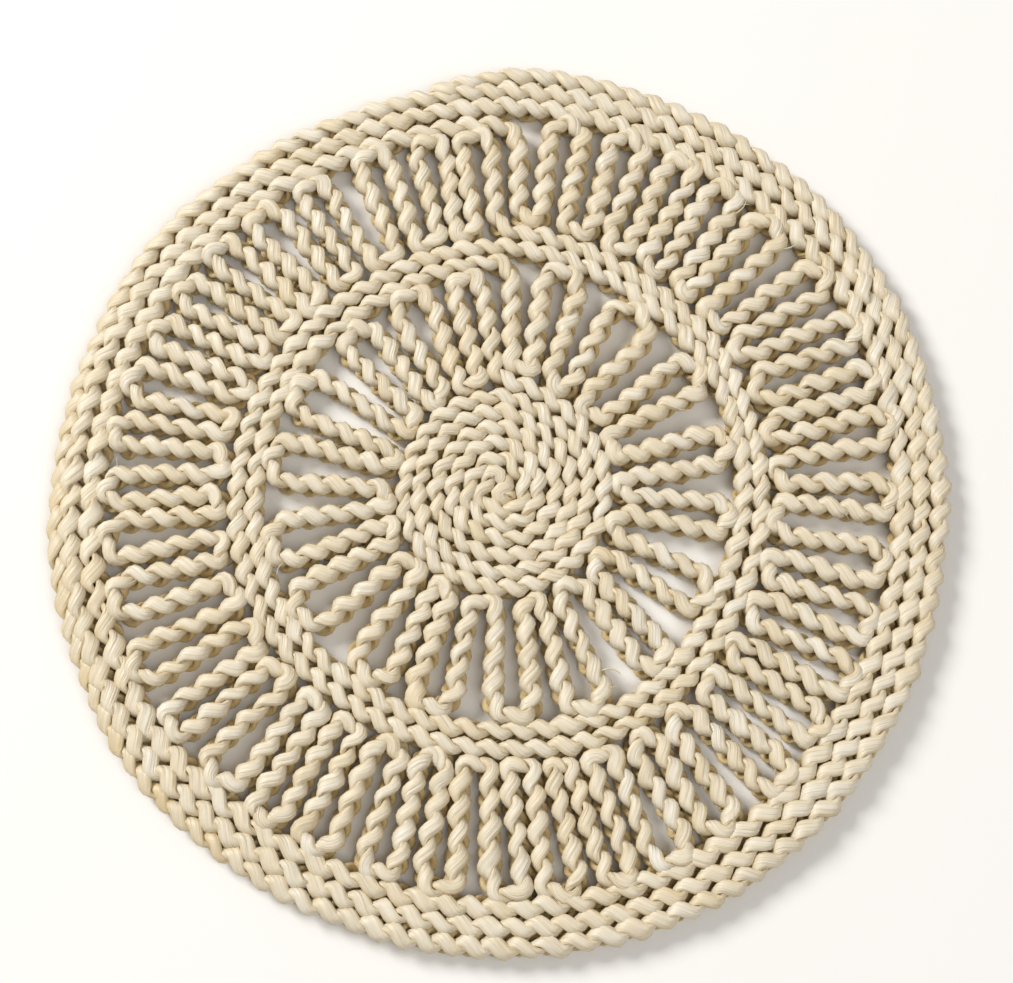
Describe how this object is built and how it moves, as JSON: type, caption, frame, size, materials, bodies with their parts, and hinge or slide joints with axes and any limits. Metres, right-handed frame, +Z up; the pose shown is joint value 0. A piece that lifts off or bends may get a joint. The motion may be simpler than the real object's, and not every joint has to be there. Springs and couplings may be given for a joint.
{
  "type": "placemat",
  "caption": "Round open-work table mat made of a continuous husk plait set on edge, wound as a coil, rounds of hairpin loops, a ring and a solid rim.",
  "frame": {"origin": "middle of the coil, on the underside that lies on the table", "axes": "+Z up through the mat, +Y towards the place where each round of the plait joins the next, +X to the right of it"},
  "size_m": [0.3792, 0.3859, 0.011],
  "materials": {
    "husk": "dry plant husk with a soft satin sheen"
  },
  "bodies": {
    "root": {"plaited_mat": "husk"}
  },
  "joints": []
}
